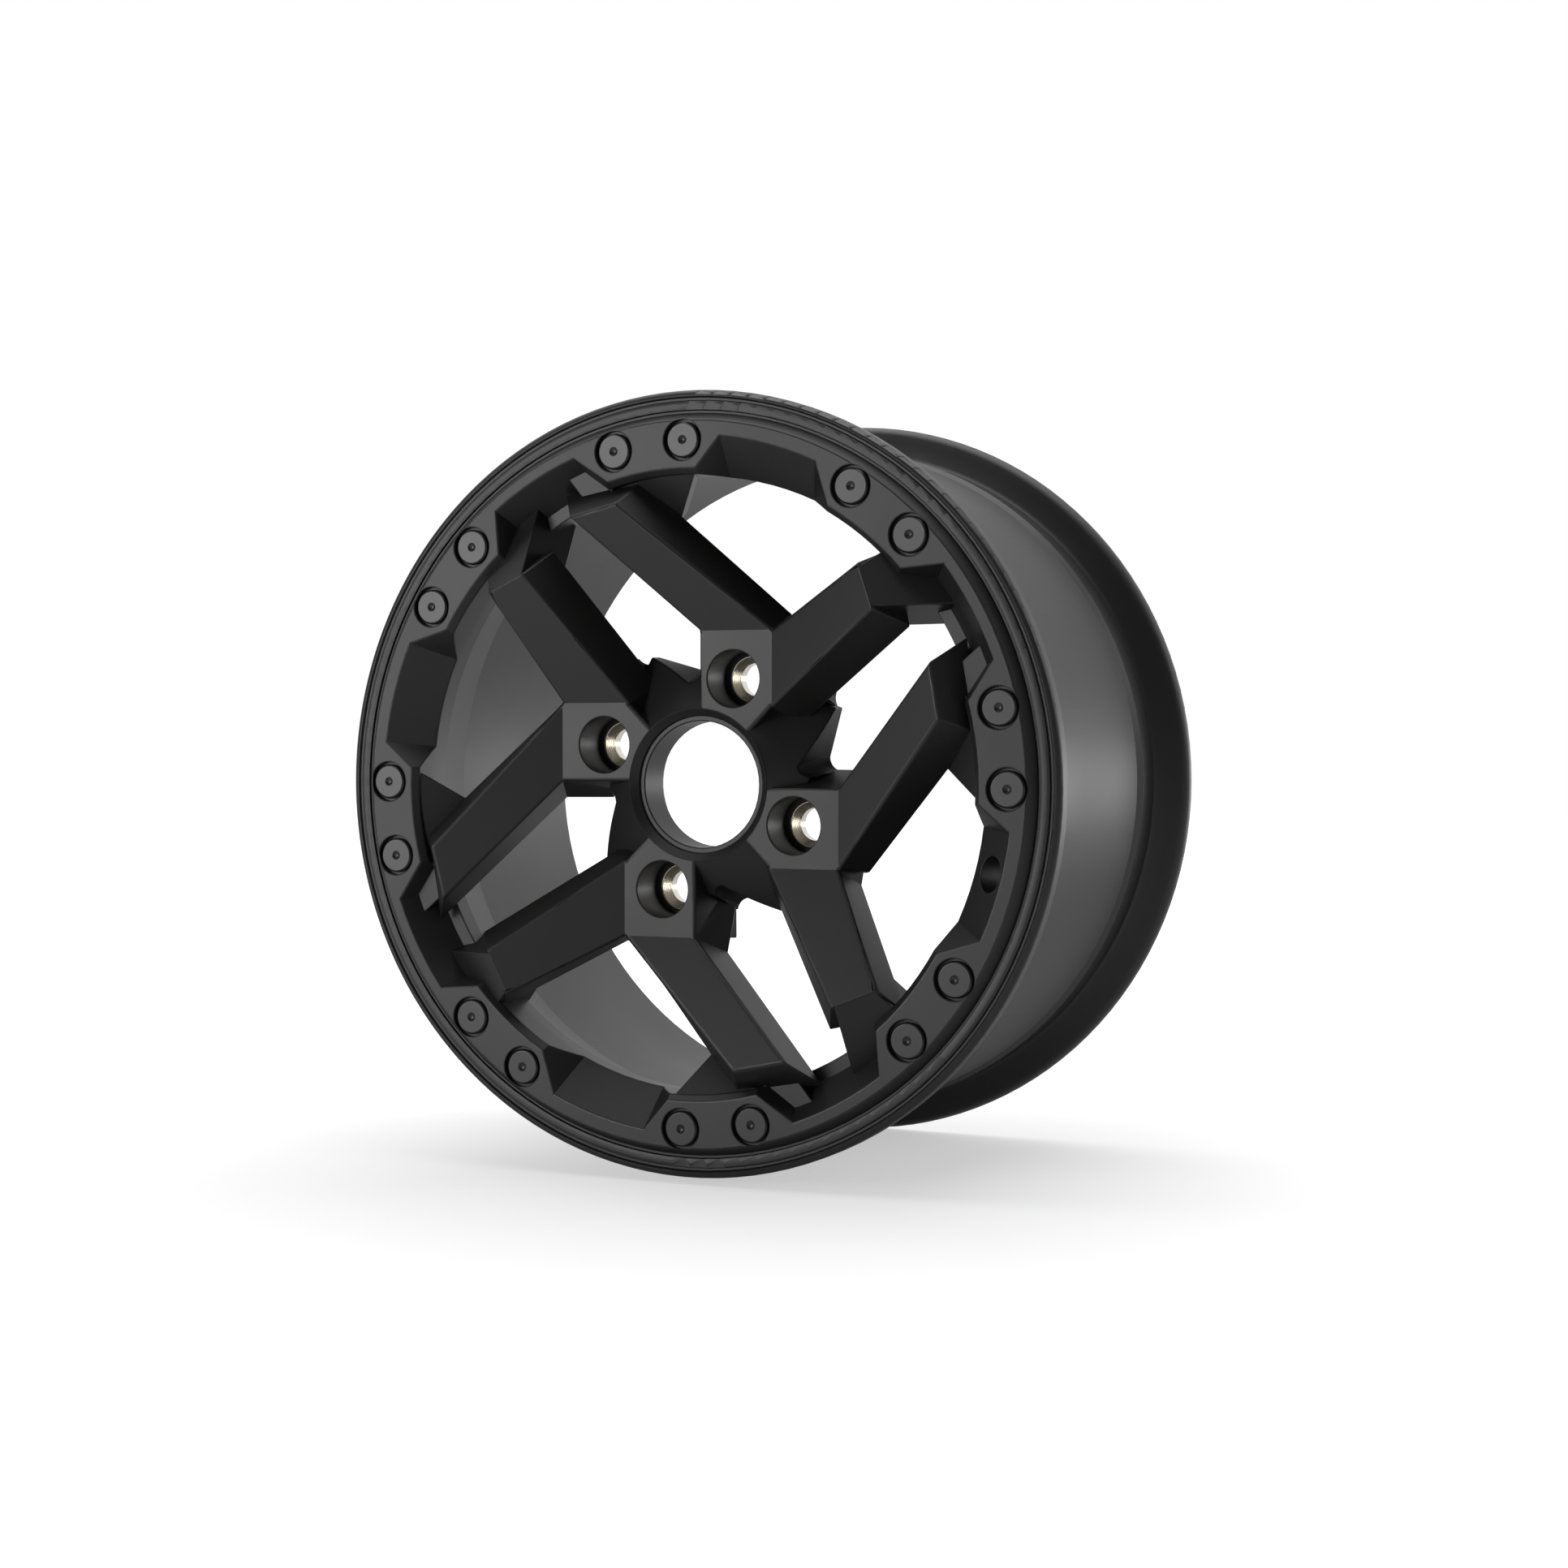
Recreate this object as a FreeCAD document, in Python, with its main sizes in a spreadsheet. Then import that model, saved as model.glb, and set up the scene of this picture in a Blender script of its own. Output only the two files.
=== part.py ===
"""One-piece cast wheel with four Y spokes, a bolted-look outer ring, lug seat bushes and ring screws.

The wheel turns about Y. Its mounting face lies on y = 0, its street face looks along -Y and +Z is up.
Heights in the sketches are measured from the mounting face towards the street side.
"""
import FreeCAD
import Part
import Sketcher

import math
import os
from types import SimpleNamespace

# Driving dimensions, millimetres and degrees
SIZES = {
    # Rim: radii step inwards from the lip, depths are measured back from the front of the lip
    "lip_radius": 190.5,
    "lip_front": 45.0,
    "rim_width": 207.7,
    "lip_band": 15.0,
    "lip_slope": 3.5,
    "lip_groove_depth": 1.1,
    "lip_groove_half": 0.5,
    "lip_groove_inner": 10.7,
    "lip_groove_outer": 4.5,
    "lip_round": 3.2,
    "lip_bead_round": 6.0,
    "flange_width": 9.0,
    "flange_height": 14.0,
    "flange_foot": 16.0,
    "flange_root": 2.0,
    "bead_seat_width": 17.0,
    "bead_seat_drop": 1.4,
    "hump_width": 8.0,
    "hump_height": 2.0,
    "well_ramp": 12.0,
    "well_width": 20.0,
    "barrel_wall": 5.2,
    "barrel_taper": 8.3,
    "barrel_step": 1.2,
    "barrel_step_depth": 61.4,
    "rear_lip_rise": 2.5,
    "rear_flare_depth": 21.7,
    # Outer ring
    "ring_step": 5.0,
    "ring_width": 26.0,
    "ring_bevel": 3.0,
    "ring_thickness": 17.0,
    "ring_back_depth": 24.0,
    "ring_back_slope": 1.0,
    # Pockets in the ring, angles from +X towards +Z
    "pocket_margin": 7.0,
    "pocket_depth": 17.0,
    "pocket_inset": 19.0,
    "pocket_reach": 32.0,
    "fork_pocket_start": 88.0,
    "fork_pocket_left": 83.0,
    "fork_pocket_right": 65.3,
    "fork_pocket_corner": 62.4,
    "fork_pocket_end": 58.5,
    "fork_pocket_corner_drop": 9.0,
    "gap_pocket_start": 132.5,
    "gap_pocket_left": 127.3,
    "gap_pocket_right": 110.3,
    "gap_pocket_end": 104.2,
    "gap_pocket_margin": 5.5,
    "gap_pocket_inset": 14.0,
    # Hub
    "bore_radius": 31.0,
    "bore_chamfer": 4.2,
    "bore_chamfer_length": 9.0,
    "cap_step": 2.4,
    "cap_depth": 1.6,
    "cap_lead": 0.6,
    "hub_ring_wall": 4.0,
    "hub_ring_height": 0.8,
    "skirt_angle": 34.0,
    "hub_lobe_reach": 35.2,
    "hub_lobe_angle": 30.6,
    "hub_waist_reach": 9.9,
    "hub_waist_angle": 9.2,
    "hub_heel_reach": 12.6,
    "hub_heel_angle": 2.3,
    "hub_back_lobe_reach": 36.2,
    "hub_back_lobe_angle": 30.6,
    "hub_back_waist_reach": 21.1,
    "hub_back_waist_angle": 13.4,
    "hub_back_heel_reach": 26.0,
    "hub_back_heel_angle": 6.2,
    "hub_corner_round": 6.5,
    # Lug pads and seats
    "lug_circle": 110.0,
    "lug_count": 4.0,
    "lug_angle": 69.4,
    "pad_recess": 12.5,
    "pad_margin_left": 17.9,
    "pad_margin_right": 20.7,
    "pad_margin_top": 23.4,
    "pad_inner": 20.0,
    "pad_heel_cut": 18.0,
    "pad_gap_flare": 7.5,
    "pad_hub_flare": 3.0,
    "pad_top_flare": 2.0,
    "lug_well_radius": 13.9,
    "bush_radius": 11.5,
    "bush_length": 10.5,
    "bush_seat_radius": 11.0,
    "bush_bore_radius": 8.1,
    "bush_seat_depth": 5.0,
    # Spoke arms: a flare is how much further out the back edge of a wall lies than its front edge
    "arm_rise": 23.0,
    "arm_thickness": 21.0,
    "arm_root": 24.0,
    "arm_tip_flare": 4.5,
    "left_gap_flare_root": 9.0,
    "left_gap_flare_tip": 12.0,
    "left_fork_flare_root": 2.0,
    "left_fork_flare_tip": 6.0,
    "right_gap_flare": 7.8,
    "right_fork_flare_root": 4.2,
    "right_fork_flare_tip": 8.0,
    "spoke_round": 2.0,
    "left_tip_outer_gap": 7.2,
    "left_tip_outer_angle": 113.9,
    "left_tip_inner_gap": 10.2,
    "left_tip_inner_angle": 103.1,
    "left_foot_drop": 8.0,
    "left_foot_reach": 37.0,
    "left_foot_root_start": 106.0,
    "left_foot_root_end": 94.0,
    "left_foot_thickness": 17.0,
    "left_foot_draft": 4.0,
    "right_tip_upper_gap": 9.0,
    "right_tip_upper_angle": 47.9,
    "right_tip_lower_gap": 17.5,
    "right_tip_lower_angle": 38.7,
    "right_root_height": 38.0,
    "right_foot_direction": 35.0,
    "right_foot_fall": 35.0,
    "right_foot_thickness": 26.0,
    "right_foot_flare": 20.0,
    "foot_overlap": 16.0,
    "foot_step": 0.5,
    "foot_start": 0.06,
    "web_rise": 35.0,
    "web_thickness": 10.0,
    "web_drop": 1.0,
    "web_start_angle": 106.0,
    "web_end_angle": 87.0,
    "web_corner_reach": 21.0,
    "web_corner_angle": 94.4,
    "web_root_angle": 102.0,
    # Ring screws
    "screw_pairs": 8.0,
    "screw_first_angle": -0.2,
    "screw_second_angle": 12.8,
    "screw_edge": 9.5,
    "screw_head_radius": 8.7,
    "screw_head_height": 2.7,
    "screw_head_round": 0.8,
    "screw_head_gap": 1.2,
    "screw_sunk": 0.3,
    "screw_shank_radius": 3.0,
    "screw_shank_length": 8.0,
    "screw_shank_gap": 0.2,
    "screw_end_gap": 0.5,
    "screw_dimple_radius": 2.3,
    "screw_dimple_depth": 1.4,
    # Valve hole
    "valve_angle": -14.4,
    "valve_tilt": 20.0,
    "valve_inset": 17.5,
    "valve_radius": 5.75,
    "valve_seat_radius": 8.5,
    "valve_seat_depth": 38.0,
    "valve_length": 60.0,
    # How far a cut starts outside the metal it removes
    "cut_spare": 1.0,
}

# How close an edge lies to the line it is looked up by
NEAR = 0.01


class Size:
    """A number together with the sheet expression that gives it."""

    def __init__(self, value, text):
        self.value = value
        self.text = text

    def __add__(self, other):
        other = size(other)
        return Size(self.value + other.value, f"({self.text} + {other.text})")

    def __sub__(self, other):
        other = size(other)
        return Size(self.value - other.value, f"({self.text} - {other.text})")

    def __mul__(self, other):
        other = size(other)
        return Size(self.value * other.value, f"({self.text} * {other.text})")

    def __truediv__(self, other):
        other = size(other)
        return Size(self.value / other.value, f"({self.text} / {other.text})")

    def __neg__(self):
        return Size(-self.value, f"(-1 * {self.text})")


def size(number):
    return number if isinstance(number, Size) else Size(float(number), repr(float(number)))


def cosine(angle):
    return Size(math.cos(math.radians(angle.value)), f"cos({angle.text})")


def sine(angle):
    return Size(math.sin(math.radians(angle.value)), f"sin({angle.text})")


def polar(radius, angle):
    return radius * cosine(angle), radius * sine(angle)


def lug_turns(d):
    """Angle from the first lug to each lug in turn."""
    return [size(360 * number) / d.lug_count for number in range(int(d.lug_count.value))]


def make_sheet(doc):
    sheet = doc.addObject("Spreadsheet::Sheet", "Dims")
    named = SimpleNamespace()
    for row, (alias, value) in enumerate(SIZES.items(), start=1):
        sheet.set(f"A{row}", alias)
        sheet.set(f"B{row}", str(value))
        sheet.setAlias(f"B{row}", alias)
        setattr(named, alias, Size(value, f"Dims.{alias}"))
    return named


def add_lines_shared_by_pieces(d):
    """Radii, heights and corners that more than one feature uses."""
    d.ring_front = d.lip_front + d.ring_step
    d.ring_outer = d.lip_radius - d.lip_band
    d.window_radius = d.ring_outer - d.ring_width
    d.pad_front = d.lip_front - d.pad_recess
    d.hub_front = d.pad_front + d.hub_ring_height
    d.cap_radius = d.bore_radius + d.cap_step
    d.hub_ring = d.cap_radius + d.hub_ring_wall
    d.lug_x, d.lug_z = polar(d.lug_circle / 2, d.lug_angle)
    d.pad_left = d.lug_x - d.pad_margin_left
    d.pad_right = d.lug_x + d.pad_margin_right
    d.pad_top = d.lug_z + d.pad_margin_top
    d.pad_heel = d.pad_right - d.pad_heel_cut
    d.screw_circle = d.ring_outer - d.screw_edge
    d.screw_seat = d.ring_front - d.screw_sunk - d.screw_head_height


def origin_feature(body, role):
    return next(item for item in body.Origin.OriginFeatures if item.Role == role)


def make_sketch(body, name, plane, placement=None):
    """Sketch on an origin plane of its body, shifted and turned by a placement expression."""
    sketch = body.newObject("Sketcher::SketchObject", name)
    sketch.AttachmentSupport = [(origin_feature(body, plane), "")]
    sketch.MapMode = "FlatFace"
    if placement:
        sketch.setExpression("AttachmentOffset", placement)
    return sketch


def raised(height, turn="rotationz(0)", across=0, up=0):
    across, up = size(across), size(up)
    return f"placement(vector({across.text}; {up.text}; {height.text}); {turn})"


def arc_centre(start, end, radius):
    """Centre of the arc that turns left from start to end, or right for a negative radius."""
    chord = end - start
    rise = math.sqrt(max(radius * radius - chord.Length ** 2 / 4, 0.0))
    left = FreeCAD.Vector(-chord.y, chord.x, 0).normalize()
    return (start + end) / 2 + left * math.copysign(rise, radius)


def draw_outline(sketch, corners):
    """Closed outline: each corner is (x, y) or (x, y, radius of the arc that leaves it)."""
    points = [FreeCAD.Vector(corner[0].value, corner[1].value, 0) for corner in corners]
    count = len(corners)
    starts = []
    for index, corner in enumerate(corners):
        start, end = points[index], points[(index + 1) % count]
        if len(corner) == 2:
            sketch.addGeometry(Part.LineSegment(start, end), False)
            starts.append((1, 2))
            continue
        radius = corner[2].value
        centre = arc_centre(start, end, radius)
        circle = Part.Circle(centre, FreeCAD.Vector(0, 0, 1), abs(radius))
        first, last = (start, end) if radius > 0 else (end, start)
        low = math.atan2(first.y - centre.y, first.x - centre.x)
        high = math.atan2(last.y - centre.y, last.x - centre.x)
        sketch.addGeometry(Part.ArcOfCircle(circle, low, high if high > low else high + 2 * math.pi), False)
        starts.append((1, 2) if radius > 0 else (2, 1))
    for index in range(count):
        following = (index + 1) % count
        sketch.addConstraint(
            Sketcher.Constraint("Coincident", index, starts[index][1], following, starts[following][0]))
    for index, corner in enumerate(corners):
        bind_corner(sketch, index, starts[index][0], corner)


def place_outline(body, name, placement, corners):
    sketch = make_sketch(body, name, "XZ_Plane", placement)
    draw_outline(sketch, corners)
    return sketch


def bind_corner(sketch, index, end, corner):
    for kind, place in (("DistanceX", corner[0]), ("DistanceY", corner[1])):
        number = sketch.addConstraint(Sketcher.Constraint(kind, -1, 1, index, end, place.value))
        sketch.setExpression(f"Constraints[{number}]", place.text)
    if len(corner) == 3:
        radius = corner[2] if corner[2].value > 0 else -corner[2]
        number = sketch.addConstraint(Sketcher.Constraint("Radius", index, radius.value))
        sketch.setExpression(f"Constraints[{number}]", radius.text)


def draw_circle(sketch, x, y, radius):
    centre = FreeCAD.Vector(x.value, y.value, 0)
    sketch.addGeometry(Part.Circle(centre, FreeCAD.Vector(0, 0, 1), radius.value), False)
    number = sketch.addConstraint(Sketcher.Constraint("Radius", 0, radius.value))
    sketch.setExpression(f"Constraints[{number}]", radius.text)
    for kind, place in (("DistanceX", x), ("DistanceY", y)):
        number = sketch.addConstraint(Sketcher.Constraint(kind, -1, 1, 0, 3, place.value))
        sketch.setExpression(f"Constraints[{number}]", place.text)


def spin(body, kind, name, sketch):
    feature = body.newObject(f"PartDesign::{kind}", name)
    feature.Profile = sketch
    feature.ReferenceAxis = (sketch, ["V_Axis"])
    feature.Angle = 360
    return feature


def pull(body, kind, name, sketch, length, draft=None):
    """Pad or Pocket that runs from its sketch towards the back of the wheel."""
    feature = body.newObject(f"PartDesign::{kind}", name)
    feature.Profile = sketch
    feature.setExpression("Length", length.text)
    feature.Reversed = kind == "Pad"
    if draft:
        feature.setExpression("TaperAngle", draft.text)
    return feature


def join_outlines(body, kind, name, sketches):
    """Loft with straight walls from the first outline to the second."""
    loft = body.newObject(f"PartDesign::{kind}", name)
    loft.Profile = sketches[0]
    loft.Sections = sketches[1:]
    loft.Ruled = True
    return loft


def repeat(body, name, originals, count):
    pattern = body.newObject("PartDesign::PolarPattern", name)
    pattern.Originals = originals
    pattern.Axis = (origin_feature(body, "Y_Axis"), [""])
    pattern.Angle = 360
    pattern.setExpression("Occurrences", count.text)
    body.Tip = pattern
    return pattern


def rim_profile(d):
    """Half section of the rim, radius against Y, from the ring round the lip, barrel and rear flange."""
    def back(depth):
        return size(depth) - d.lip_front

    bead = d.lip_radius - d.flange_height
    bead_end = bead - d.bead_seat_drop
    inner_rear = bead - d.barrel_wall
    inner_step = inner_rear - d.barrel_taper
    well = inner_step + d.barrel_wall
    seat_end = d.flange_foot + d.bead_seat_width
    hump_end = seat_end + d.hump_width
    well_start = hump_end + d.well_ramp
    rear = d.rim_width
    rear_seat = rear - d.flange_foot
    rear_hump = rear_seat - d.bead_seat_width
    rear_lip = d.lip_radius + d.rear_lip_rise
    inner_groove = d.lip_radius - d.lip_groove_inner
    outer_groove = d.lip_radius - d.lip_groove_outer
    groove = d.lip_groove_half
    flat_front = -d.ring_front
    return [
        (d.window_radius + d.ring_bevel, flat_front),
        (d.ring_outer, flat_front),
        (d.ring_outer + d.lip_slope, back(0)),
        (inner_groove - groove, back(d.lip_groove_depth)),
        (inner_groove + groove, back(d.lip_groove_depth)),
        (inner_groove + groove * 2, back(0), d.lip_bead_round),
        (outer_groove - groove * 2, back(0)),
        (outer_groove - groove, back(d.lip_groove_depth)),
        (outer_groove + groove, back(d.lip_groove_depth)),
        (d.lip_radius - d.lip_round, back(0), d.lip_round),
        (d.lip_radius, back(d.lip_round)),
        (d.lip_radius, back(d.flange_width)),
        (bead + d.flange_root, back(d.flange_foot - d.flange_root)),
        (bead, back(d.flange_foot)),
        (bead_end, back(seat_end)),
        (bead_end + d.hump_height, back(seat_end + d.hump_width / 2)),
        (bead_end, back(hump_end)),
        (well, back(well_start)),
        (well, back(well_start + d.well_width)),
        (bead_end, back(rear_hump - d.hump_width)),
        (bead_end + d.hump_height, back(rear_hump - d.hump_width / 2)),
        (bead_end, back(rear_hump)),
        (bead, back(rear_seat)),
        (bead + d.flange_root, back(rear_seat + d.flange_root)),
        (rear_lip, back(rear - d.flange_width)),
        (rear_lip, back(rear - d.lip_round), d.lip_round),
        (rear_lip - d.lip_round, back(rear)),
        (bead + d.flange_height / 2, back(rear)),
        (inner_rear, back(rear - d.rear_flare_depth)),
        (inner_step, back(d.barrel_step_depth)),
        (inner_step - d.barrel_step, back(d.barrel_step_depth)),
        (d.window_radius + d.ring_back_slope, back(d.ring_back_depth)),
        (d.window_radius, back(d.ring_thickness - d.ring_step)),
        (d.window_radius, flat_front + d.ring_bevel),
    ]


def pocket_outline(d, outer, inset, turn, drop, angles):
    """Ring pocket seen from the front: angles run start, left, right, end or with a corner before end."""
    reach = d.window_radius - d.pocket_reach
    edge = d.window_radius - inset
    corners = [(reach, angles[0]), (edge, angles[0]), (outer - inset, angles[1]), (outer - inset, angles[2])]
    if drop:
        corners.append((outer - inset - drop, turn))
    corners += [(edge, angles[3]), (reach, angles[3])]
    outline = [polar(radius, angle) for radius, angle in corners]
    outline[2] = outline[2] + (-(outer - inset),)
    return outline


def cut_pocket(body, d, name, outer, inset, turn, drop, angles):
    front = pocket_outline(d, outer, size(0), turn, drop, angles)
    floor = pocket_outline(d, outer, inset, turn, drop, angles)
    return join_outlines(body, "SubtractiveLoft", name, [
        place_outline(body, f"{name}_front", raised(d.ring_front), front),
        place_outline(body, f"{name}_floor", raised(d.ring_front - d.pocket_depth), floor),
    ])


def cut_ring_pockets(body, d):
    fork = cut_pocket(
        body, d, "fork_pocket", d.ring_outer - d.pocket_margin, d.pocket_inset,
        d.fork_pocket_corner, d.fork_pocket_corner_drop,
        (d.fork_pocket_start, d.fork_pocket_left, d.fork_pocket_right, d.fork_pocket_end))
    gap = cut_pocket(
        body, d, "gap_pocket", d.ring_outer - d.gap_pocket_margin, d.gap_pocket_inset, None, None,
        (d.gap_pocket_start, d.gap_pocket_left, d.gap_pocket_right, d.gap_pocket_end))
    return repeat(body, "ring_pockets", [fork, gap], d.lug_count)


def hub_outline(d, heel, waist, lobe):
    """Pinwheel outline: on each side of a lobe the wall turns in a hollow corner towards the next lug pad."""
    corners = []
    for turn in lug_turns(d):
        for reach, angle, rounding in (
                (heel[0], heel[1], (-d.hub_corner_round,)), (waist[0], waist[1], ()), (lobe[0], lobe[1], ())):
            corners.append(polar(d.hub_ring + reach, angle + turn) + rounding)
    return corners


def add_hub(body, d):
    """Pinwheel hub block, its conical skirt and the ring round the bore."""
    front = hub_outline(
        d, (d.hub_heel_reach, d.hub_heel_angle), (d.hub_waist_reach, d.hub_waist_angle),
        (d.hub_lobe_reach, d.hub_lobe_angle))
    back = hub_outline(
        d, (d.hub_back_heel_reach, d.hub_back_heel_angle), (d.hub_back_waist_reach, d.hub_back_waist_angle),
        (d.hub_back_lobe_reach, d.hub_back_lobe_angle))
    join_outlines(body, "AdditiveLoft", "hub_block", [
        place_outline(body, "hub_front", raised(d.hub_front), front),
        place_outline(body, "hub_back", raised(size(0)), back),
    ])
    body.Document.recompute()

    skirt = make_sketch(body, "skirt_profile", "XY_Plane")
    far = d.hub_lobe_reach * 2
    drop = far * sine(d.skirt_angle) / cosine(d.skirt_angle)
    draw_outline(skirt, [
        (d.hub_ring, -d.hub_front - d.cut_spare),
        (d.hub_ring, -d.pad_front),
        (d.hub_ring + far, drop - d.pad_front),
        (d.hub_ring + far, -d.hub_front - d.cut_spare),
    ])
    spin(body, "Groove", "hub_skirt", skirt)


def add_lug_pad(body, d):
    front = [
        (d.pad_left, d.pad_inner), (d.pad_heel, d.pad_inner), (d.pad_right, d.right_root_height),
        (d.pad_right, d.pad_top), (d.pad_left, d.pad_top),
    ]
    gap_side, hub_side = d.pad_left - d.pad_gap_flare, d.pad_right + d.pad_hub_flare
    top = d.pad_top + d.pad_top_flare
    back = [
        (gap_side, d.pad_inner), (d.pad_heel + d.pad_hub_flare, d.pad_inner), (hub_side, d.right_root_height),
        (hub_side, top), (gap_side, top),
    ]
    return join_outlines(body, "AdditiveLoft", "lug_pad", [
        place_outline(body, "lug_pad_front", raised(d.pad_front), front),
        place_outline(body, "lug_pad_back", raised(size(0)), back),
    ])


def add_left_arm(body, d):
    """Left arm rises from the upper edge of the pad; its foot runs on under the ring."""
    tilt = f"rotationx({d.arm_rise.text})"

    def on_slope(radius, angle):
        x, z = polar(radius, angle)
        return x, (z - d.pad_top) / cosine(d.arm_rise)

    outer = on_slope(d.window_radius - d.left_tip_outer_gap, d.left_tip_outer_angle)
    inner = on_slope(d.window_radius - d.left_tip_inner_gap, d.left_tip_inner_angle)
    front = [
        (d.pad_left, -d.arm_root), (d.pad_right, -d.arm_root),
        (d.pad_right, size(0)), inner, outer, (d.pad_left, size(0)),
    ]
    gap_side = d.pad_left - d.left_gap_flare_root
    fork_side = d.pad_right + d.left_fork_flare_root
    back = [
        (gap_side, -d.arm_root), (fork_side, -d.arm_root),
        (fork_side, size(0)), (inner[0] + d.left_fork_flare_tip, inner[1] + d.arm_tip_flare),
        (outer[0] - d.left_gap_flare_tip, outer[1] + d.arm_tip_flare), (gap_side, size(0)),
    ]
    sink, slide = d.arm_thickness * cosine(d.arm_rise), d.arm_thickness * sine(d.arm_rise)
    arm = join_outlines(body, "AdditiveLoft", "left_arm", [
        place_outline(body, "left_arm_front", raised(d.pad_front, tilt, up=d.pad_top), front),
        place_outline(body, "left_arm_back", raised(d.pad_front - sink, tilt, up=d.pad_top + slide), back),
    ])

    root = d.window_radius - d.left_foot_reach
    end = d.window_radius + d.foot_overlap
    sketch = make_sketch(body, "left_foot_outline", "XZ_Plane", raised(d.ring_front - d.left_foot_drop))
    draw_outline(sketch, [
        polar(root, d.left_foot_root_start), polar(root, d.left_foot_root_end),
        polar(end, d.left_tip_inner_angle), polar(end, d.left_tip_outer_angle),
    ])
    foot = pull(body, "Pad", "left_foot", sketch, d.left_foot_thickness, d.left_foot_draft)
    return [arm, foot]


def add_right_arm(body, d):
    """Right arm rises from the right edge of the pad, then bends back down to the ring."""
    tilt = f"rotationy(-1 * {d.arm_rise.text})"

    def on_slope(radius, angle):
        x, z = polar(radius, angle)
        return (x - d.pad_right) / cosine(d.arm_rise), z

    upper_radius = d.window_radius - d.right_tip_upper_gap
    lower_radius = d.window_radius - d.right_tip_lower_gap
    lower = on_slope(lower_radius, d.right_tip_lower_angle)
    upper = on_slope(upper_radius, d.right_tip_upper_angle)
    front = [
        (-d.arm_root, d.right_root_height), (size(0), d.right_root_height), lower, upper,
        (size(0), d.pad_top), (-d.arm_root, d.pad_top),
    ]
    gap_side = d.right_root_height - d.right_gap_flare
    fork_side = d.pad_top + d.right_fork_flare_root
    back = [
        (-d.arm_root, gap_side), (size(0), gap_side),
        (lower[0] + d.arm_tip_flare, lower[1] - d.right_gap_flare),
        (upper[0] + d.arm_tip_flare, upper[1] + d.right_fork_flare_tip),
        (size(0), fork_side), (-d.arm_root, fork_side),
    ]
    sink, slide = d.arm_thickness * cosine(d.arm_rise), d.arm_thickness * sine(d.arm_rise)
    behind = raised(d.pad_front - sink, tilt, across=d.pad_right + slide)
    arm = join_outlines(body, "AdditiveLoft", "right_arm", [
        place_outline(body, "right_arm_front", raised(d.pad_front, tilt, across=d.pad_right), front),
        place_outline(body, "right_arm_back", behind, back),
    ])

    crease = polar(lower_radius, d.right_tip_lower_angle)
    upper_tip = polar(upper_radius, d.right_tip_upper_angle)
    crest = d.pad_front + (crease[0] - d.pad_right) * sine(d.arm_rise) / cosine(d.arm_rise) - d.foot_step
    turn = f"rotationz({d.right_foot_direction.text}) * rotationy({d.right_foot_fall.text})"
    along, across = polar(size(1), d.right_foot_direction)
    run, rise = upper_tip[0] - crease[0], upper_tip[1] - crease[1]
    tip_u = (run * along + rise * across) / cosine(d.right_foot_fall)
    tip_v = rise * along - run * across
    reach = (d.window_radius + d.foot_overlap - lower_radius) / cosine(d.right_foot_fall)
    sketch = make_sketch(
        body, "right_foot_outline", "XZ_Plane", raised(crest, turn, across=crease[0], up=crease[1]))
    draw_outline(sketch, [
        (tip_u * d.foot_start, tip_v * d.foot_start), (reach, -d.right_foot_flare),
        (reach, tip_v), (tip_u * (size(1) - d.foot_start), tip_v * (size(1) - d.foot_start)),
    ])
    foot = pull(body, "Pad", "right_foot", sketch, d.right_foot_thickness)
    return [arm, foot]


def add_web(body, d):
    """Sloping web between the upper land of the ring and the side of the left arm."""
    tilt = f"rotationx({d.web_rise.text})"
    hinge = d.window_radius

    def on_slope(radius, angle):
        x, z = polar(radius, angle)
        return x, (z - hinge) / cosine(d.web_rise)

    sketch = make_sketch(
        body, "web_outline", "XZ_Plane", raised(d.ring_front - d.ring_bevel - d.web_drop, tilt, up=hinge))
    inside = d.window_radius - d.web_corner_reach
    outside = d.window_radius + d.ring_bevel + d.web_drop
    draw_outline(sketch, [
        on_slope(outside, d.web_start_angle), on_slope(inside, d.web_root_angle),
        on_slope(inside, d.web_corner_angle), on_slope(outside, d.web_end_angle),
    ])
    return [pull(body, "Pad", "web", sketch, d.web_thickness)]


def front_edges(d):
    """Ends of the straight front edges of the pad and the arms of the first spoke."""
    slope = sine(d.arm_rise) / cosine(d.arm_rise)

    def point(x, z, run):
        return FreeCAD.Vector(x.value, -(d.pad_front + run * slope).value, z.value)

    def left_tip(gap, angle):
        x, z = polar(d.window_radius - gap, angle)
        return point(x, z, z - d.pad_top)

    def right_tip(gap, angle):
        x, z = polar(d.window_radius - gap, angle)
        return point(x, z, x - d.pad_right)

    flat = size(0)
    left_root, fork = point(d.pad_left, d.pad_top, flat), point(d.pad_right, d.pad_top, flat)
    right_root = point(d.pad_right, d.right_root_height, flat)
    left_outer = left_tip(d.left_tip_outer_gap, d.left_tip_outer_angle)
    left_inner = left_tip(d.left_tip_inner_gap, d.left_tip_inner_angle)
    return [
        (point(d.pad_left, d.pad_inner, flat), left_root), (point(d.pad_heel, d.pad_inner, flat), right_root),
        (left_root, left_outer), (left_outer, left_inner), (left_inner, fork),
        (fork, right_tip(d.right_tip_upper_gap, d.right_tip_upper_angle)),
        (right_root, right_tip(d.right_tip_lower_gap, d.right_tip_lower_angle)),
    ]


def edge_names_between(shape, ends):
    """Names of the edges that run along any of the given lines."""
    names = []
    for number, edge in enumerate(shape.Edges, start=1):
        middle = edge.valueAt((edge.FirstParameter + edge.LastParameter) / 2)
        if any(middle.distanceToLineSegment(start, end).Length < NEAR for start, end in ends):
            names.append(f"Edge{number}")
    return names


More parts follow.
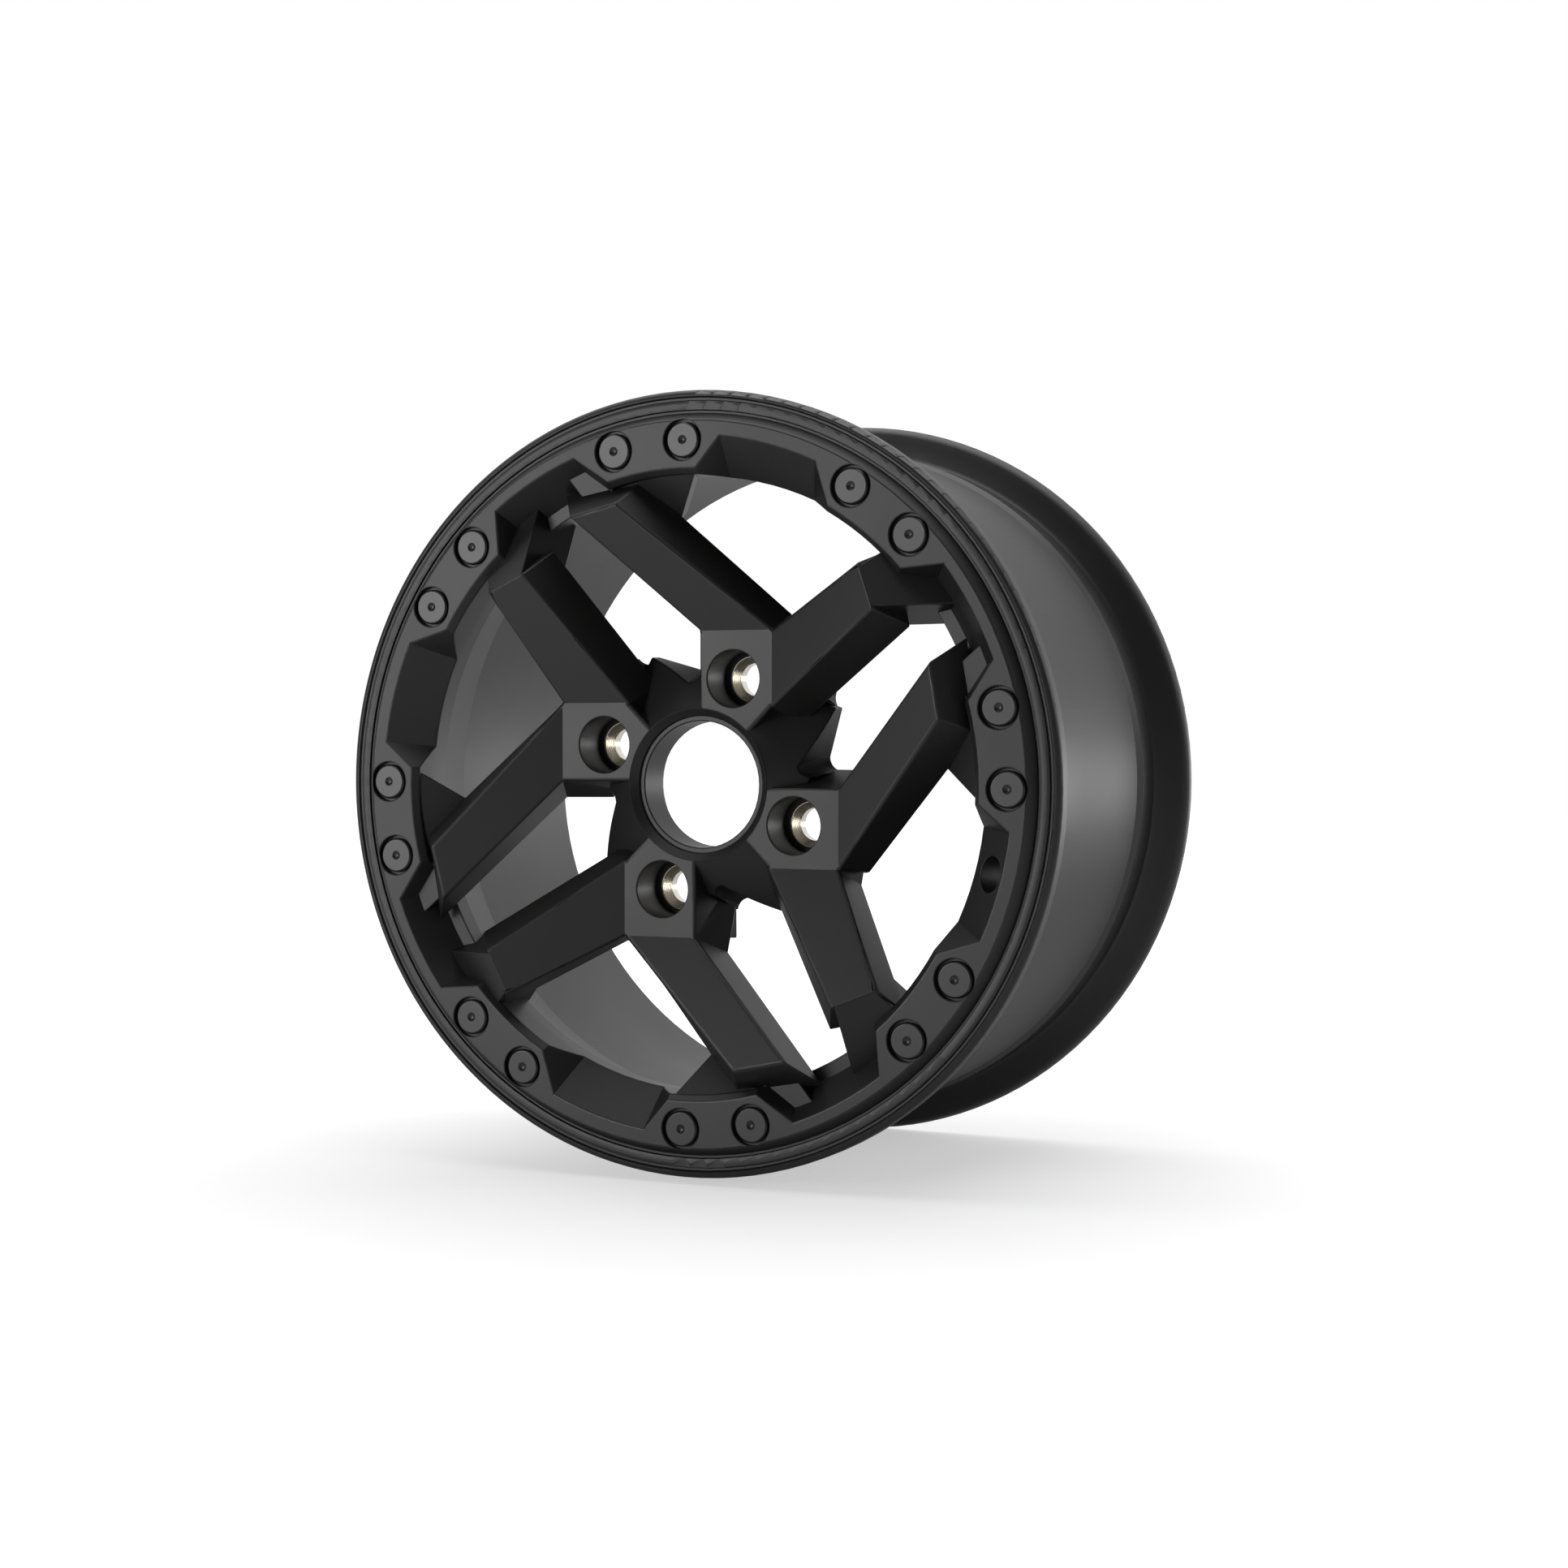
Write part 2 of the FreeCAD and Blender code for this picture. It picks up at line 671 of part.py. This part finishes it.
def round_spokes(body, d, spokes):
    ends = []
    for turn in lug_turns(d):
        swing = FreeCAD.Rotation(FreeCAD.Vector(0, 1, 0), turn.value)
        ends += [(swing.multVec(start), swing.multVec(end)) for start, end in front_edges(d)]
    rounds = body.newObject("PartDesign::Fillet", "spoke_rounds")
    rounds.Base = (spokes, edge_names_between(spokes.Shape, ends))
    rounds.setExpression("Radius", d.spoke_round.text)


def cut_bore(body, d):
    """Stepped centre bore: lead-in, cap seat, pilot bore and the rear chamfer that clears the hub's root."""
    sketch = make_sketch(body, "bore_profile", "XY_Plane")
    front = -d.hub_front
    draw_outline(sketch, [
        (size(0), front - d.cut_spare), (d.cap_radius + d.cap_lead, front - d.cut_spare),
        (d.cap_radius + d.cap_lead, front), (d.cap_radius, front + d.cap_lead),
        (d.cap_radius, front + d.cap_depth), (d.bore_radius, front + d.cap_depth),
        (d.bore_radius, -d.bore_chamfer_length), (d.bore_radius + d.bore_chamfer, size(0)),
        (d.bore_radius + d.bore_chamfer, d.cut_spare), (size(0), d.cut_spare),
    ])
    spin(body, "Groove", "bore", sketch)


def cut_lug_holes(body, d):
    well = make_sketch(body, "lug_well_outline", "XZ_Plane", raised(d.pad_front))
    draw_circle(well, d.lug_x, d.lug_z, d.lug_well_radius)
    counterbore = pull(body, "Pocket", "lug_well", well, d.pad_front - d.bush_length)
    hole = make_sketch(body, "lug_hole_outline", "XZ_Plane", raised(d.bush_length))
    draw_circle(hole, d.lug_x, d.lug_z, d.bush_radius)
    through = pull(body, "Pocket", "lug_hole", hole, d.bush_length)
    repeat(body, "lug_holes", [counterbore, through], d.lug_count)


def cut_screw_seats(body, d):
    cuts = []
    for order, angle in (("first", d.screw_first_angle), ("second", d.screw_second_angle)):
        x, z = polar(d.screw_circle, angle)
        seat = make_sketch(body, f"screw_seat_{order}_outline", "XZ_Plane", raised(d.ring_front))
        draw_circle(seat, x, z, d.screw_head_radius + d.screw_head_gap)
        cuts.append(pull(body, "Pocket", f"screw_seat_{order}", seat, d.screw_sunk + d.screw_head_height))
        hole = make_sketch(body, f"screw_hole_{order}_outline", "XZ_Plane", raised(d.screw_seat))
        draw_circle(hole, x, z, d.screw_shank_radius + d.screw_shank_gap)
        cuts.append(pull(body, "Pocket", f"screw_hole_{order}", hole, d.screw_shank_length + d.screw_end_gap))
    repeat(body, "screw_seats", cuts, d.screw_pairs)


def cut_valve_hole(body, d):
    """Valve hole through the front wall of one fork pocket, leaning outwards into the tyre space."""
    x, z = polar(d.ring_outer - d.valve_inset, d.valve_angle)
    turn = f"rotationz({d.valve_angle.text}) * rotationy(-1 * {d.valve_tilt.text})"
    for name, radius, depth in (
            ("valve_seat", d.valve_seat_radius, d.valve_seat_depth),
            ("valve_hole", d.valve_radius, d.valve_length)):
        sketch = make_sketch(body, f"{name}_outline", "XZ_Plane", raised(d.ring_front, turn, across=x, up=z))
        draw_circle(sketch, size(0), size(0), radius)
        pull(body, "Pocket", name, sketch, depth)


def make_casting(doc, d):
    body = doc.addObject("PartDesign::Body", "wheel_casting")
    body.AllowCompound = True
    section = make_sketch(body, "rim_section", "XY_Plane")
    draw_outline(section, rim_profile(d))
    spin(body, "Revolution", "rim", section)
    doc.recompute()
    cut_ring_pockets(body, d)
    add_hub(body, d)
    features = [add_lug_pad(body, d)] + add_left_arm(body, d) + add_web(body, d) + add_right_arm(body, d)
    doc.recompute()
    spokes = repeat(body, "spokes", features, d.lug_count)
    doc.recompute()
    round_spokes(body, d, spokes)
    cut_bore(body, d)
    cut_lug_holes(body, d)
    cut_screw_seats(body, d)
    cut_valve_hole(body, d)
    return body


def make_bush(doc, d, number, turn):
    """Plated steel bush with a conical nut seat, flush with the floor of its lug well."""
    body = doc.addObject("PartDesign::Body", f"lug_seat_bush_{number}")
    sketch = make_sketch(body, f"bush_section_{number}", "XY_Plane")
    top = -d.bush_length
    draw_outline(sketch, [
        (d.bush_bore_radius, size(0)), (d.bush_bore_radius, top + d.bush_seat_depth),
        (d.bush_seat_radius, top), (d.bush_radius, top), (d.bush_radius, size(0)),
    ])
    spin(body, "Revolution", f"bush_{number}", sketch)
    x, z = polar(d.lug_circle / 2, d.lug_angle + turn)
    body.setExpression("Placement.Base.x", x.text)
    body.setExpression("Placement.Base.z", z.text)
    return body


def make_screws(doc, d):
    """Round-headed screws with a centre dimple, in pairs round the ring."""
    body = doc.addObject("PartDesign::Body", "ring_screws")
    body.AllowCompound = True
    turned = []
    for order, angle in (("first", d.screw_first_angle), ("second", d.screw_second_angle)):
        x, z = polar(d.screw_circle, angle)
        sketch = make_sketch(body, f"screw_section_{order}", "XY_Plane")
        sketch.setExpression("AttachmentOffset", f"placement(vector({x.text}; 0; {z.text}); rotationz(0))")
        seat = -d.screw_seat
        top = seat - d.screw_head_height
        draw_outline(sketch, [
            (size(0), seat + d.screw_shank_length), (size(0), top + d.screw_dimple_depth),
            (d.screw_dimple_radius, top), (d.screw_head_radius - d.screw_head_round, top),
            (d.screw_head_radius, top + d.screw_head_round), (d.screw_head_radius, seat),
            (d.screw_shank_radius, seat), (d.screw_shank_radius, seat + d.screw_shank_length),
        ])
        turned.append(spin(body, "Revolution", f"screw_{order}", sketch))
    doc.recompute()
    repeat(body, "screws", turned, d.screw_pairs)
    return body


def check(doc, pieces):
    for item in doc.Objects:
        if "Invalid" in item.State or "Error" in item.State:
            raise RuntimeError(f"{item.Label} did not build: {item.State}")
    for piece in pieces:
        shape = piece.Shape
        if shape.isNull() or not shape.isValid():
            raise RuntimeError(f"{piece.Label} has no valid shape")
        print(piece.Label, "solids", len(shape.Solids), "volume", round(shape.Volume))


def main():
    doc = FreeCAD.newDocument("wheel")
    d = make_sheet(doc)
    add_lines_shared_by_pieces(d)
    doc.recompute()
    pieces = [make_casting(doc, d), make_screws(doc, d)]
    pieces += [make_bush(doc, d, number, turn) for number, turn in enumerate(lug_turns(d), start=1)]
    doc.recompute()
    check(doc, pieces)
    os.makedirs("parts", exist_ok=True)
    for piece in pieces:
        piece.Shape.exportStep(f"parts/{piece.Label}.step")


main()
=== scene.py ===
import math

import bmesh
import bpy
from mathutils import Matrix, Vector


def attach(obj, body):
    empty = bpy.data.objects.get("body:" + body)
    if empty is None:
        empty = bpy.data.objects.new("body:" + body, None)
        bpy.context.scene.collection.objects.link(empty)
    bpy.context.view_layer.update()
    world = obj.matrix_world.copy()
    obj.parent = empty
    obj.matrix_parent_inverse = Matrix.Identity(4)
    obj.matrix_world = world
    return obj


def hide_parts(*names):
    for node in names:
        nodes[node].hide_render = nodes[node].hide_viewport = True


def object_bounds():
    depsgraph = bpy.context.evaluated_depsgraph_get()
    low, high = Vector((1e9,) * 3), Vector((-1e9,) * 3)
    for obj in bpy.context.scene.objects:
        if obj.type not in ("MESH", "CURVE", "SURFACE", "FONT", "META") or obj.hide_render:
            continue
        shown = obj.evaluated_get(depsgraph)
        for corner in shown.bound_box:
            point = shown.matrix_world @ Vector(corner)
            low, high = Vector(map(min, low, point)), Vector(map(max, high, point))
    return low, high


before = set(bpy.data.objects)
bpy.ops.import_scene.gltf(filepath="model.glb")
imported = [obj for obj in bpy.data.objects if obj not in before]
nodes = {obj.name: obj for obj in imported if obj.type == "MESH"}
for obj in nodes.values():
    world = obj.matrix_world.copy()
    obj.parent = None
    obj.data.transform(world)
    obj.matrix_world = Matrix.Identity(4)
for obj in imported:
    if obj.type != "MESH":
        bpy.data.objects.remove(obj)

scene = bpy.context.scene
cadBox = [list(corner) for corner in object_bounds()]
print("frame loaded:", sorted(nodes))


# a setting is a property of the node, or else the value of one of its sockets
def addNode(tree, kind, x, y, **settings):
    node = tree.nodes.new(kind)
    node.location = (x, y)
    for name, value in settings.items():
        if hasattr(node, name):
            setattr(node, name, value)
        else:
            node.inputs[name].default_value = value
    return node


def newMaterial(name):
    material = bpy.data.materials.new(name)
    material.use_nodes = True
    tree = material.node_tree
    tree.nodes.clear()
    output = addNode(tree, "ShaderNodeOutputMaterial", 600, 0)
    shader = addNode(tree, "ShaderNodeBsdfPrincipled", 300, 0)
    tree.links.new(shader.outputs["BSDF"], output.inputs["Surface"])
    return material, tree, shader


# fine noise for the coat's texture, broad noise for slow changes of gloss and tone
grainInputs = ("Grain Scale", "Cloud Scale", "Gloss", "Gloss Spread")
grainOutputs = ("Roughness", "Height", "Cloud")
fineNoise = {"Detail": 3.0, "Roughness": 0.55}
broadNoise = {"Detail": 2.0, "Roughness": 0.5}


def makeSatinGrain():
    group = bpy.data.node_groups.new("satinGrain", "ShaderNodeTree")
    face = group.interface
    for name in grainInputs:
        face.new_socket(name, in_out="INPUT", socket_type="NodeSocketFloat")
    for name in grainOutputs:
        face.new_socket(name, in_out="OUTPUT", socket_type="NodeSocketFloat")
    start = addNode(group, "NodeGroupInput", -800, 0)
    end = addNode(group, "NodeGroupOutput", 500, 0)
    place = addNode(group, "ShaderNodeTexCoord", -800, 300)
    fine = addNode(group, "ShaderNodeTexNoise", -500, 300, **fineNoise)
    broad = addNode(group, "ShaderNodeTexNoise", -500, 0, **broadNoise)
    lowest = addNode(group, "ShaderNodeMath", -200, -250, operation="SUBTRACT")
    highest = addNode(group, "ShaderNodeMath", -200, -450, operation="ADD")
    spread = addNode(group, "ShaderNodeMapRange", 100, 0)
    link = group.links.new
    link(place.outputs["Object"], fine.inputs["Vector"])
    link(place.outputs["Object"], broad.inputs["Vector"])
    link(start.outputs["Grain Scale"], fine.inputs["Scale"])
    link(start.outputs["Cloud Scale"], broad.inputs["Scale"])
    for node in (lowest, highest):
        link(start.outputs["Gloss"], node.inputs[0])
        link(start.outputs["Gloss Spread"], node.inputs[1])
    link(broad.outputs["Fac"], spread.inputs["Value"])
    link(lowest.outputs[0], spread.inputs["To Min"])
    link(highest.outputs[0], spread.inputs["To Max"])
    link(spread.outputs["Result"], end.inputs["Roughness"])
    link(fine.outputs["Fac"], end.inputs["Height"])
    link(broad.outputs["Fac"], end.inputs["Cloud"])
    return group


satinGrain = makeSatinGrain()

# satin black coat of the casting; the screws have the same coat a little smoother
powderCoat = {
    "Grain Scale": 1100.0, "Cloud Scale": 16.0, "Gloss": 0.46, "Gloss Spread": 0.04,
    "bump": 0.06, "bumpDistance": 0.0002,
    "dark": (0.0038, 0.0038, 0.0038), "light": (0.0056, 0.0056, 0.0053),
}
screwFinish = {**powderCoat, "Gloss": 0.36, "bump": 0.04}


def makePowderCoat(name, finish):
    material, tree, shader = newMaterial(name)
    grain = addNode(tree, "ShaderNodeGroup", -600, 0, node_tree=satinGrain)
    for socket in grainInputs:
        grain.inputs[socket].default_value = finish[socket]
    tone = addNode(tree, "ShaderNodeValToRGB", -300, 200)
    tone.color_ramp.elements[0].color = (*finish["dark"], 1.0)
    tone.color_ramp.elements[1].color = (*finish["light"], 1.0)
    bump = addNode(tree, "ShaderNodeBump", 0, -300, Strength=finish["bump"], Distance=finish["bumpDistance"])
    link = tree.links.new
    link(grain.outputs["Cloud"], tone.inputs["Fac"])
    link(tone.outputs["Color"], shader.inputs["Base Color"])
    link(grain.outputs["Roughness"], shader.inputs["Roughness"])
    link(grain.outputs["Height"], bump.inputs["Height"])
    link(bump.outputs["Normal"], shader.inputs["Normal"])
    return material


castingCoat = makePowderCoat("powderCoat", powderCoat)
screwCoat = makePowderCoat("screwCoat", screwFinish)

# turned and nickel-plated steel: fine rings round the bush's axis
nickelPlate = {
    "colour": (0.72, 0.68, 0.60), "metallic": 1.0, "roughLow": 0.14, "roughHigh": 0.30,
    "turningScale": 420.0, "waver": 0.3, "detail": 2.0, "bump": 0.15, "bumpDistance": 0.00015,
}


def makeNickelPlate():
    material, tree, shader = newMaterial("nickelPlate")
    place = addNode(tree, "ShaderNodeTexCoord", -800, 0)
    turning = addNode(
        tree, "ShaderNodeTexWave", -500, 0, wave_type="BANDS", bands_direction="Y",
        Scale=nickelPlate["turningScale"], Distortion=nickelPlate["waver"],
        Detail=nickelPlate["detail"])
    rough = addNode(tree, "ShaderNodeMapRange", -200, 0)
    rough.inputs["To Min"].default_value = nickelPlate["roughLow"]
    rough.inputs["To Max"].default_value = nickelPlate["roughHigh"]
    bump = addNode(
        tree, "ShaderNodeBump", 0, -300, Strength=nickelPlate["bump"], Distance=nickelPlate["bumpDistance"])
    link = tree.links.new
    link(place.outputs["Object"], turning.inputs["Vector"])
    link(turning.outputs["Fac"], rough.inputs["Value"])
    link(rough.outputs["Result"], shader.inputs["Roughness"])
    link(turning.outputs["Fac"], bump.inputs["Height"])
    link(bump.outputs["Normal"], shader.inputs["Normal"])
    shader.inputs["Base Color"].default_value = (*nickelPlate["colour"], 1.0)
    shader.inputs["Metallic"].default_value = nickelPlate["metallic"]
    return material


seatPlate = makeNickelPlate()
print("materials made:", len(bpy.data.materials))

# metres and degrees; the node's triangles are loose, so a copy is merged and its flat faces joined first
castingEdges = {"round": 0.0006, "segments": 2, "reach": 0.1770}
screwEdges = {"round": 0.0002, "segments": 2, "reach": 1.0}
seatEdges = {"round": 0.0002, "segments": 2, "reach": 1.0}
surfacing = {
    "mergeDistance": 1e-6, "flatAngle": 0.2, "flatWeight": 100,
    "edgeAngle": 32.0, "smoothAngle": 9.2, "rimAngle": 30.0,
}


# distance from the wheel's axis
def axisDistance(place):
    return math.hypot(place.x, place.z)


def bevelEdges(shape, chosen, offset, segments):
    bmesh.ops.bevel(
        shape, geom=chosen, offset=offset, offset_type="OFFSET", segments=segments,
        profile=0.5, affect="EDGES", material=-1, clamp_overlap=False)


def roundEdges(shape, edges):
    limit = math.radians(surfacing["edgeAngle"])
    sharp = [
        edge for edge in shape.edges
        if edge.is_manifold and edge.calc_face_angle_signed() > limit
        and axisDistance(edge.verts[0].co) < edges["reach"]]
    bevelEdges(shape, sharp, edges["round"], edges["segments"])


# creases stay crisp on the spokes and the ring, the beads of the lip are shaded smooth
def markCreases(shape, reach):
    for edge in shape.edges:
        onRim = axisDistance(edge.verts[0].co) > reach
        limit = surfacing["rimAngle"] if onRim else surfacing["smoothAngle"]
        edge.smooth = edge.is_manifold and edge.calc_face_angle() < math.radians(limit)


# the cap seat is pulled back, so that the flat ring round the bore becomes a chamfer
boreMouth = {"outside": 0.0345, "front": -0.0312, "pull": 0.0035}


def chamferBore(shape):
    inner = [
        vert for vert in shape.verts
        if axisDistance(vert.co) < boreMouth["outside"] and vert.co.y < boreMouth["front"]]
    bmesh.ops.translate(shape, verts=inner, vec=(0, boreMouth["pull"], 0))


# front corner of the rear flange
rearFlange = {"rim": 0.0004, "width": 0.009, "slack": 0.0005, "round": 0.004, "segments": 5}


def roundRearFlange(shape):
    highest = max(axisDistance(vert.co) for vert in shape.verts)
    corner = max(vert.co.y for vert in shape.verts) - rearFlange["width"]
    chosen = [
        edge for edge in shape.edges
        if all(axisDistance(vert.co) > highest - rearFlange["rim"] for vert in edge.verts)
        and all(abs(vert.co.y - corner) < rearFlange["slack"] for vert in edge.verts)]
    print("rear flange corner edges:", len(chosen))
    bevelEdges(shape, chosen, rearFlange["round"], rearFlange["segments"])


# web in the corner between each right arm and the hub's lobe:
# an arc tangent to the arm, drawn in by the draft
lobeWeb = {
    "centre": (0.0680, 0.0423), "round": 0.0085, "turnStart": 130.0, "turnEnd": 207.0, "segments": 8,
    "inside": ((0.0500, 0.0420), (0.0540, 0.0500)), "depth": 0.026, "draft": (-0.004, 0.010), "copies": 4,
}


def addLobeWebs(shape):
    centreX, centreZ = lobeWeb["centre"]
    start = math.radians(lobeWeb["turnStart"])
    turn = math.radians(lobeWeb["turnEnd"]) - start
    first = shape.verts.new(
        (centreX + lobeWeb["round"] * math.cos(start), 0.0, centreZ + lobeWeb["round"] * math.sin(start)))
    arc = bmesh.ops.spin(
        shape, geom=[first], cent=(centreX, 0.0, centreZ), axis=(0, -1, 0), angle=turn,
        steps=lobeWeb["segments"], use_merge=False)
    last = next(part for part in arc["geom_last"] if isinstance(part, bmesh.types.BMVert))
    outline = [first]
    while outline[-1] is not last:
        ends = [edge.other_vert(outline[-1]) for edge in outline[-1].link_edges]
        outline.append(next(vert for vert in ends if vert not in outline))
    for x, z in lobeWeb["inside"]:
        outline.append(shape.verts.new((x, 0.0, z)))
    base = shape.faces.new(outline)
    top = bmesh.ops.extrude_face_region(shape, geom=[base], use_keep_orig=True)["geom"]
    raised = [part for part in top if isinstance(part, bmesh.types.BMVert)]
    bmesh.ops.translate(
        shape, verts=raised, vec=(lobeWeb["draft"][0], -lobeWeb["depth"], lobeWeb["draft"][1]))
    web = list({vert: None for vert in outline + raised})
    faces = list({face: None for vert in web for face in vert.link_faces})
    bmesh.ops.recalc_face_normals(shape, faces=faces)
    bmesh.ops.spin(
        shape, geom=faces, cent=(0, 0, 0), axis=(0, 1, 0), angle=math.tau * (1 - 1 / lobeWeb["copies"]),
        steps=lobeWeb["copies"] - 1, use_duplicate=True)


def dressNode(nodeName, pieceName, material, slotName, edges):
    mesh = nodes[nodeName].data.copy()
    mesh.name = pieceName
    shape = bmesh.new()
    shape.from_mesh(mesh)
    bmesh.ops.remove_doubles(shape, verts=shape.verts, dist=surfacing["mergeDistance"])
    if slotName == "casting":
        chamferBore(shape)
    bmesh.ops.dissolve_limit(
        shape, angle_limit=math.radians(surfacing["flatAngle"]), verts=shape.verts, edges=shape.edges)
    roundEdges(shape, edges)
    if slotName == "casting":
        roundRearFlange(shape)
        addLobeWebs(shape)
    markCreases(shape, edges["reach"])
    shape.to_mesh(mesh)
    shape.free()
    mesh.materials.clear()
    mesh.materials.append(material)
    mesh.shade_smooth()
    piece = bpy.data.objects.new(pieceName, mesh)
    scene.collection.objects.link(piece)
    flats = piece.modifiers.new("flatsStayFlat", "WEIGHTED_NORMAL")
    flats.weight = surfacing["flatWeight"]
    flats.keep_sharp = True
    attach(piece, "root")
    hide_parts(nodeName)


dressNode("wheel_casting", "wheelCasting", castingCoat, "casting", castingEdges)
dressNode("ring_screws", "ringScrews", screwCoat, "screws", screwEdges)
for nodeName in sorted(nodes):
    if nodeName.startswith("lug_seat_bush"):
        dressNode(nodeName, "lugSeat." + nodeName[-1], seatPlate, "bush", seatEdges)
print("pieces dressed")

# metres; the floor's glow grows with distance, and the world is dimmer in front of the wheel than behind it
studio = {
    "floorSize": 12.0, "floorColour": (0.45, 0.45, 0.45), "floorRoughness": 0.9,
    "floorGlow": 0.50, "farGlow": 0.97, "nearRadius": 0.30, "farRadius": 1.6, "floorMirrored": 0.3,
    "worldSeen": 1.0, "worldMirrored": 0.0,
    "worldFront": 0.14, "worldBack": 1.0, "gradientFront": -0.3, "gradientBack": 0.85,
}


def setRange(node, *keys):
    for name, key in zip(("From Min", "From Max", "To Min", "To Max"), keys):
        node.inputs[name].default_value = studio[key]


# one where the camera or a glass looks at the backdrop, less where a gloss mirrors it,
# nought for plain light
def seenRays(tree, x, y, mirrored):
    path = addNode(tree, "ShaderNodeLightPath", x, y)
    gloss = addNode(tree, "ShaderNodeMath", x + 200, y - 200, operation="MULTIPLY")
    gloss.inputs[1].default_value = mirrored
    tree.links.new(path.outputs["Is Glossy Ray"], gloss.inputs[0])
    total = path.outputs["Is Camera Ray"]
    for step, other in enumerate((gloss.outputs[0], path.outputs["Is Transmission Ray"]), start=2):
        either = addNode(tree, "ShaderNodeMath", x + 200 * step, y, operation="MAXIMUM")
        tree.links.new(total, either.inputs[0])
        tree.links.new(other, either.inputs[1])
        total = either.outputs[0]
    return total


def makeFloor(height):
    mesh = bpy.data.meshes.new("floor")
    shape = bmesh.new()
    bmesh.ops.create_grid(
        shape, x_segments=1, y_segments=1, size=studio["floorSize"] / 2,
        matrix=Matrix.Translation((0, 0, height)))
    shape.to_mesh(mesh)
    shape.free()
    floor = bpy.data.objects.new("floor", mesh)
    scene.collection.objects.link(floor)
    material, tree, shader = newMaterial("paleFloor")
    shader.inputs["Base Color"].default_value = (*studio["floorColour"], 1.0)
    shader.inputs["Roughness"].default_value = studio["floorRoughness"]
    shader.inputs["Emission Color"].default_value = (1, 1, 1, 1)
    place = addNode(tree, "ShaderNodeTexCoord", -900, -300)
    away = addNode(tree, "ShaderNodeVectorMath", -600, -300, operation="LENGTH")
    fade = addNode(tree, "ShaderNodeMapRange", -300, -300)
    setRange(fade, "nearRadius", "farRadius", "floorGlow", "farGlow")
    seen = seenRays(tree, -600, -600, studio["floorMirrored"])
    glow = addNode(tree, "ShaderNodeMath", 0, -300, operation="MULTIPLY")
    link = tree.links.new
    link(place.outputs["Object"], away.inputs[0])
    link(away.outputs["Value"], fade.inputs["Value"])
    link(fade.outputs["Result"], glow.inputs[0])
    link(seen, glow.inputs[1])
    link(glow.outputs[0], shader.inputs["Emission Strength"])
    mesh.materials.append(material)


def makeWorld():
    world = bpy.data.worlds.new("studioWorld")
    world.use_nodes = True
    tree = world.node_tree
    tree.nodes.clear()
    output = addNode(tree, "ShaderNodeOutputWorld", 600, 0)
    seen = addNode(tree, "ShaderNodeBackground", 0, 200, Color=(1, 1, 1, 1), Strength=studio["worldSeen"])
    lit = addNode(tree, "ShaderNodeBackground", 0, 0, Color=(1, 1, 1, 1))
    place = addNode(tree, "ShaderNodeTexCoord", -900, -100)
    split = addNode(tree, "ShaderNodeSeparateXYZ", -600, -100)
    depth = addNode(tree, "ShaderNodeMapRange", -300, -100, interpolation_type="SMOOTHSTEP")
    setRange(depth, "gradientFront", "gradientBack", "worldFront", "worldBack")
    pick = addNode(tree, "ShaderNodeMixShader", 300, 0)
    direct = seenRays(tree, -900, 300, studio["worldMirrored"])
    link = tree.links.new
    link(place.outputs["Generated"], split.inputs[0])
    link(split.outputs["Y"], depth.inputs["Value"])
    link(depth.outputs["Result"], lit.inputs["Strength"])
    link(direct, pick.inputs[0])
    link(lit.outputs[0], pick.inputs[1])
    link(seen.outputs[0], pick.inputs[2])
    link(pick.outputs[0], output.inputs["Surface"])
    scene.world = world


# azimuth 0 is in front of the wheel's street face, 90 to its right; radiance 1 is white
softboxes = (
    {"name": "keyBox", "azimuth": 330, "elevation": 6, "width": 1.0, "height": 1.0, "radiance": 7.4},
    {"name": "rightBox", "azimuth": 116, "elevation": 24, "width": 1.0, "height": 1.0, "radiance": 1.6},
    {"name": "backBox", "azimuth": 152, "elevation": -2, "width": 1.4, "height": 0.4, "radiance": 4.0},
    {"name": "topBox", "azimuth": 180, "elevation": 84, "width": 2.4, "height": 2.2, "radiance": 2.6},
    {"name": "leftBox", "azimuth": 270, "elevation": 50, "width": 1.2, "height": 1.2, "radiance": 1.4},
)
softboxDistance = 2.2


def addSoftbox(box):
    light = bpy.data.lights.new(box["name"], "AREA")
    light.shape = "RECTANGLE"
    light.size = box["width"]
    light.size_y = box["height"]
    light.energy = box["radiance"] * math.pi * box["width"] * box["height"]
    around, up = math.radians(box["azimuth"]), math.radians(box["elevation"])
    towards = Vector((math.cos(up) * math.sin(around), -math.cos(up) * math.cos(around), math.sin(up)))
    lamp = bpy.data.objects.new(box["name"], light)
    lamp.location = towards * softboxDistance
    lamp.rotation_euler = (-towards).to_track_quat("-Z", "Y").to_euler()
    lamp.visible_camera = False
    scene.collection.objects.link(lamp)


# metres and degrees, solved from the lip, the rear flange and the lug circle in the photo
viewpoint = {
    "place": (0.5767, -1.1931, 0.0254), "yaw": 24.5526, "pitch": 1.1103,
    "focalPixels": 3275.99, "picturePixels": 1932.0, "sensor": 36.0, "nearest": 0.01,
}


def addCamera():
    data = bpy.data.cameras.new("photoCamera")
    data.sensor_width = viewpoint["sensor"]
    data.sensor_fit = "HORIZONTAL"
    data.lens = viewpoint["focalPixels"] / viewpoint["picturePixels"] * viewpoint["sensor"]
    data.clip_start = viewpoint["nearest"]
    camera = bpy.data.objects.new("photoCamera", data)
    camera.location = viewpoint["place"]
    camera.rotation_euler = (math.radians(90.0 - viewpoint["pitch"]), 0.0, math.radians(viewpoint["yaw"]))
    scene.collection.objects.link(camera)
    scene.camera = camera


makeFloor(cadBox[0][2])
makeWorld()
for box in softboxes:
    addSoftbox(box)
addCamera()
scene.view_settings.view_transform = "Standard"
print("studio set")
